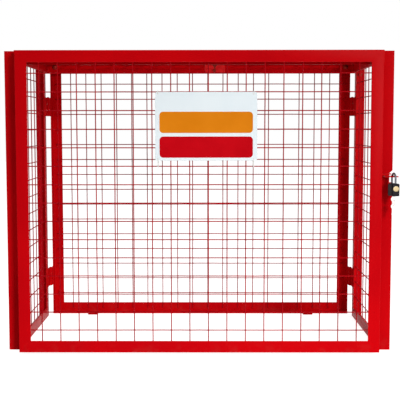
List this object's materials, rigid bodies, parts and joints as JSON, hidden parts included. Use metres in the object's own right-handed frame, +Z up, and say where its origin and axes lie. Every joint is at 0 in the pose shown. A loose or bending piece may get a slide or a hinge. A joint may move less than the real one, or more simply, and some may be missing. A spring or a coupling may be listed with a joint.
{
  "type": "gas cylinder cage",
  "caption": "Red welded mesh cage framed in steel angle, open at the floor, with a hinged front door, a padlock and a plain sign plate.",
  "frame": {"origin": "on the floor, midway between the two floor-fixing holes at the back of the cage", "axes": "+X to the right seen from the front, +Y to the rear, +Z up"},
  "size_m": [1.173, 0.64, 0.905],
  "materials": {
    "red_paint": "gloss signal red powder coat on steel angle",
    "red_wire": "red powder coat on welded steel wire",
    "padlock_black": "black coated padlock body",
    "shackle_steel": "dark hardened steel",
    "sign_plastic": "white rigid plastic sign with plain colour panels"
  },
  "bodies": {
    "cage": {"back_top_rail": "red_paint", "back_bottom_rail": "red_paint", "back_left_stile": "red_paint", "back_right_stile": "red_paint", "back_mesh": "red_wire", "left_top_rail": "red_paint", "left_bottom_rail": "red_paint", "left_front_stile": "red_paint", "left_rear_stile": "red_paint", "left_mesh": "red_wire", "right_top_rail": "red_paint", "right_bottom_rail": "red_paint", "right_front_stile": "red_paint", "right_rear_stile": "red_paint", "right_mesh": "red_wire", "roof_front_rail": "red_paint", "roof_rear_rail": "red_paint", "roof_left_rail": "red_paint", "roof_right_rail": "red_paint", "roof_mesh": "red_wire", "roof_catch_plate": "red_paint", "door_hinge_side_leaves": "red_paint", "door_hinge_pins": "red_paint", "left_rear_hinge_back_leaves": "red_paint", "left_rear_hinge_side_leaves": "red_paint", "left_rear_hinge_pins": "red_paint", "right_rear_hinge_back_leaves": "red_paint", "right_rear_hinge_side_leaves": "red_paint", "right_rear_hinge_pins": "red_paint", "left_floor_lug": "red_paint", "right_floor_lug": "red_paint", "side_lock_lug": "red_paint", "padlock_body": "padlock_black", "padlock_shackle": "shackle_steel"},
    "door": {"door_top_rail": "red_paint", "door_bottom_rail": "red_paint", "door_hinge_stile": "red_paint", "door_lock_stile": "red_paint", "door_mesh": "red_wire", "door_hinge_door_leaves": "red_paint", "door_lock_lug": "red_paint", "sign_plate": "sign_plastic"}
  },
  "joints": [
    {"name": "door_swing", "type": "hinge", "parent": "cage", "child": "door", "pos_m": [-0.5415, -0.541, 0.445], "axis": [0, 0, -1], "range_deg": [0, 110]}
  ]
}
